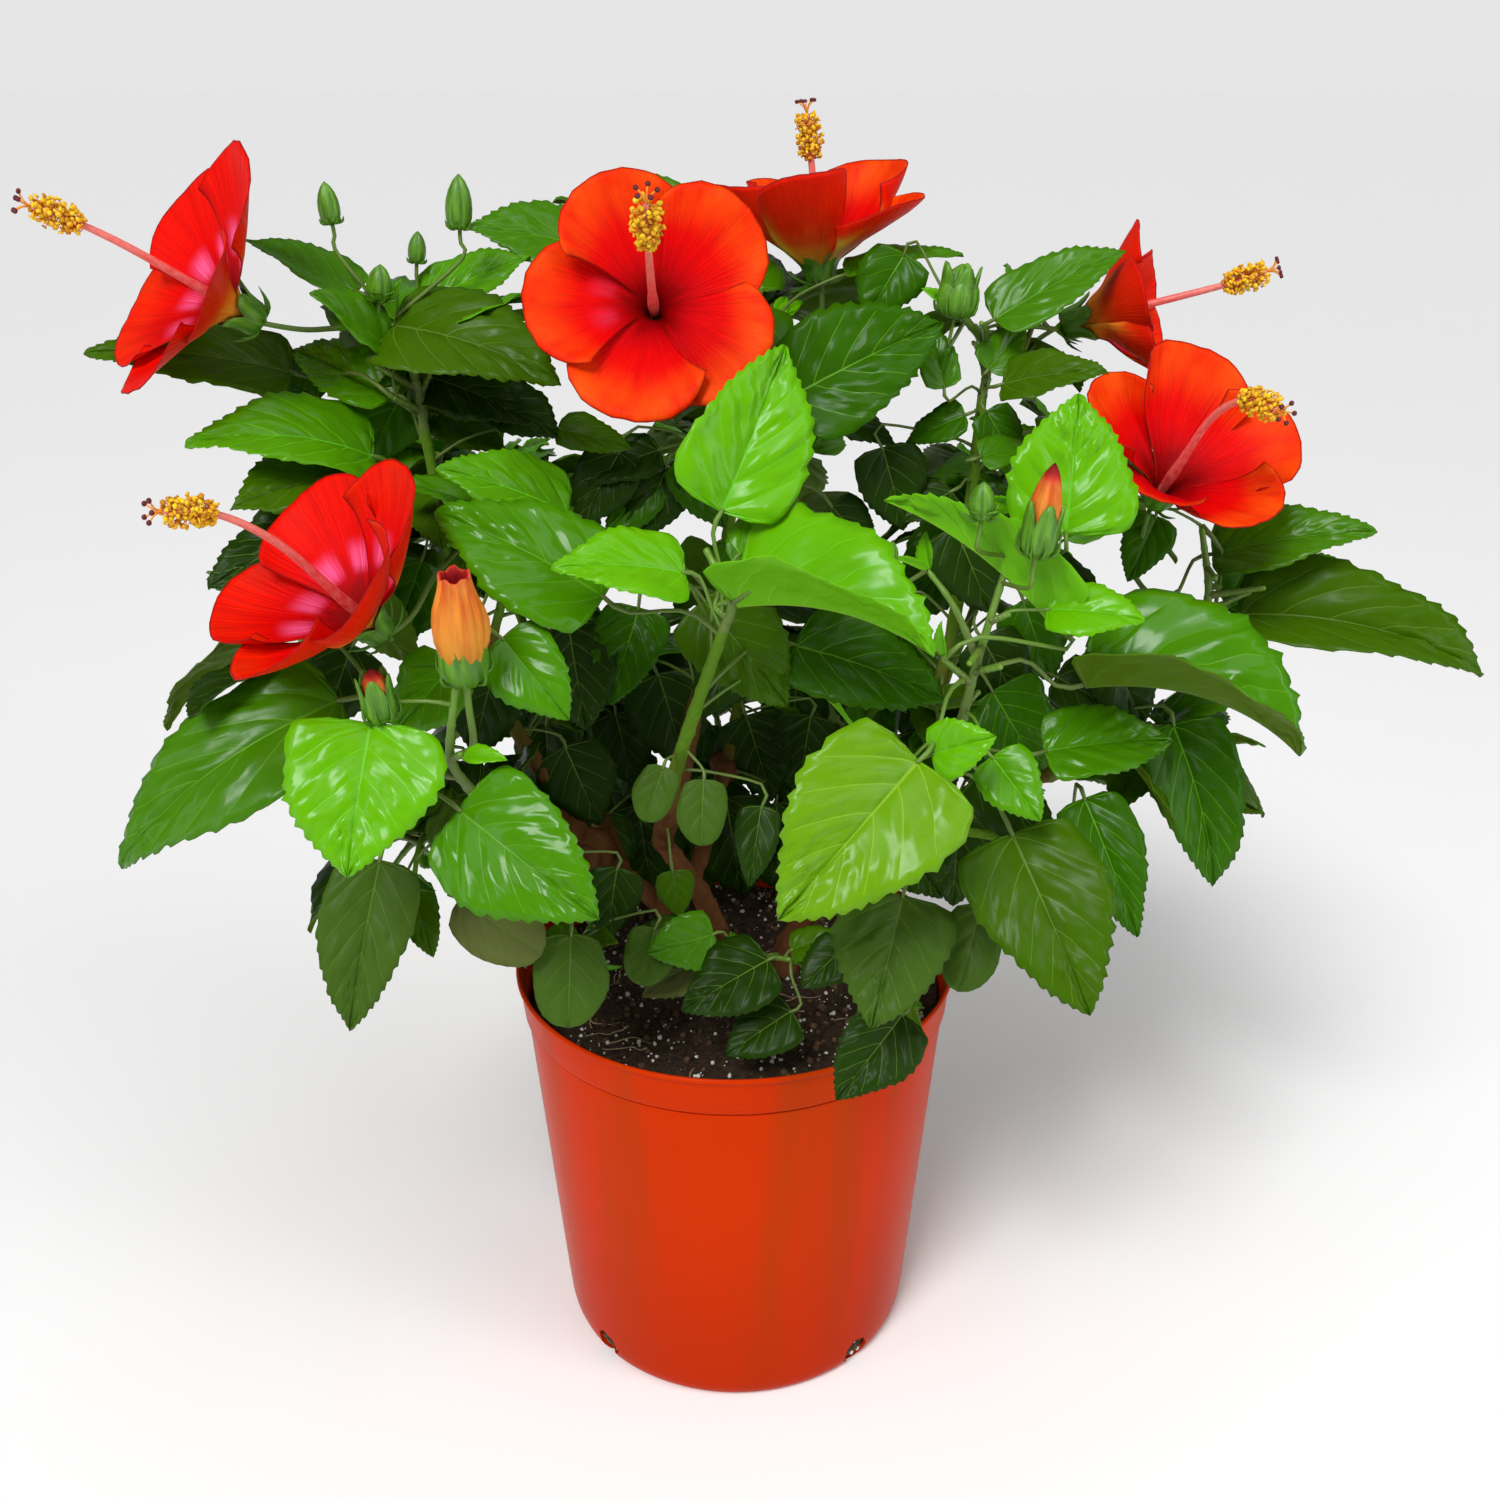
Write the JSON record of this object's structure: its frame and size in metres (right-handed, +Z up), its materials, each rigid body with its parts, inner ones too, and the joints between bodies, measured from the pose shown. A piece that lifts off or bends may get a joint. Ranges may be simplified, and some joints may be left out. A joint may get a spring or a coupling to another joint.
{
  "type": "potted hibiscus shrub",
  "caption": "Leafy hibiscus shrub with large open red flowers, growing in a round tapered plastic nursery pot that stands flat on its base.",
  "frame": {"origin": "centre of the pot's flat underside, at ground level", "axes": "+Z up along the pot's axis; +X to the viewer's right and +Y to the back when the plant is seen from its best side"},
  "size_m": [0.686, 0.497, 0.6826],
  "materials": {
    "pot_plastic": "thin blow-moulded orange-red plastic with a soft gloss and faint upright moulding streaks",
    "potting_mix": "damp dark composted bark with white perlite grains and a few pale rootlets",
    "bark": "brown woody bark low down, smooth green young shoots above",
    "leaf": "glossy toothed leaves, bright green above and duller low down, with raised pale veins",
    "petal": "soft red petals with a pink throat, orange streaks behind and a yellow-tipped column"
  },
  "bodies": {
    "root": {"pot": "pot_plastic", "soil": "potting_mix", "stem_left": "bark", "stem_middle": "bark", "stem_right": "bark", "bough_top_left": "bark", "bough_left": "bark", "bough_front_left": "bark", "bough_back_left": "bark", "bough_front": "bark", "bough_top": "bark", "bough_back": "bark", "bough_top_right": "bark", "bough_right": "bark", "bough_front_right": "bark", "bough_back_right": "bark", "bough_middle_left": "bark", "bough_middle_right": "bark", "bough_low_left": "bark", "bough_low_right": "bark", "bough_rim": "bark", "bough_right_low": "bark", "bough_foot": "bark", "bough_foot_left": "bark", "bough_low_back": "bark", "leaves_top_left": "leaf", "leaves_top": "leaf", "leaves_top_right": "leaf", "leaves_left": "leaf", "leaves_front_left": "leaf", "leaves_middle_left": "leaf", "leaves_front": "leaf", "leaves_front_right": "leaf", "leaves_middle_right": "leaf", "leaves_right": "leaf", "leaves_low_left": "leaf", "leaves_low_right": "leaf", "leaves_rim": "leaf", "leaves_foot": "leaf", "leaves_foot_left": "leaf", "leaves_right_low": "leaf", "leaves_back_left": "leaf", "leaves_back": "leaf", "leaves_back_right": "leaf", "leaves_low_back": "leaf", "flower_left_top": "petal", "flower_front": "petal", "flower_back": "petal", "flower_right_top": "petal", "flower_right": "petal", "flower_left": "petal"}
  },
  "joints": []
}
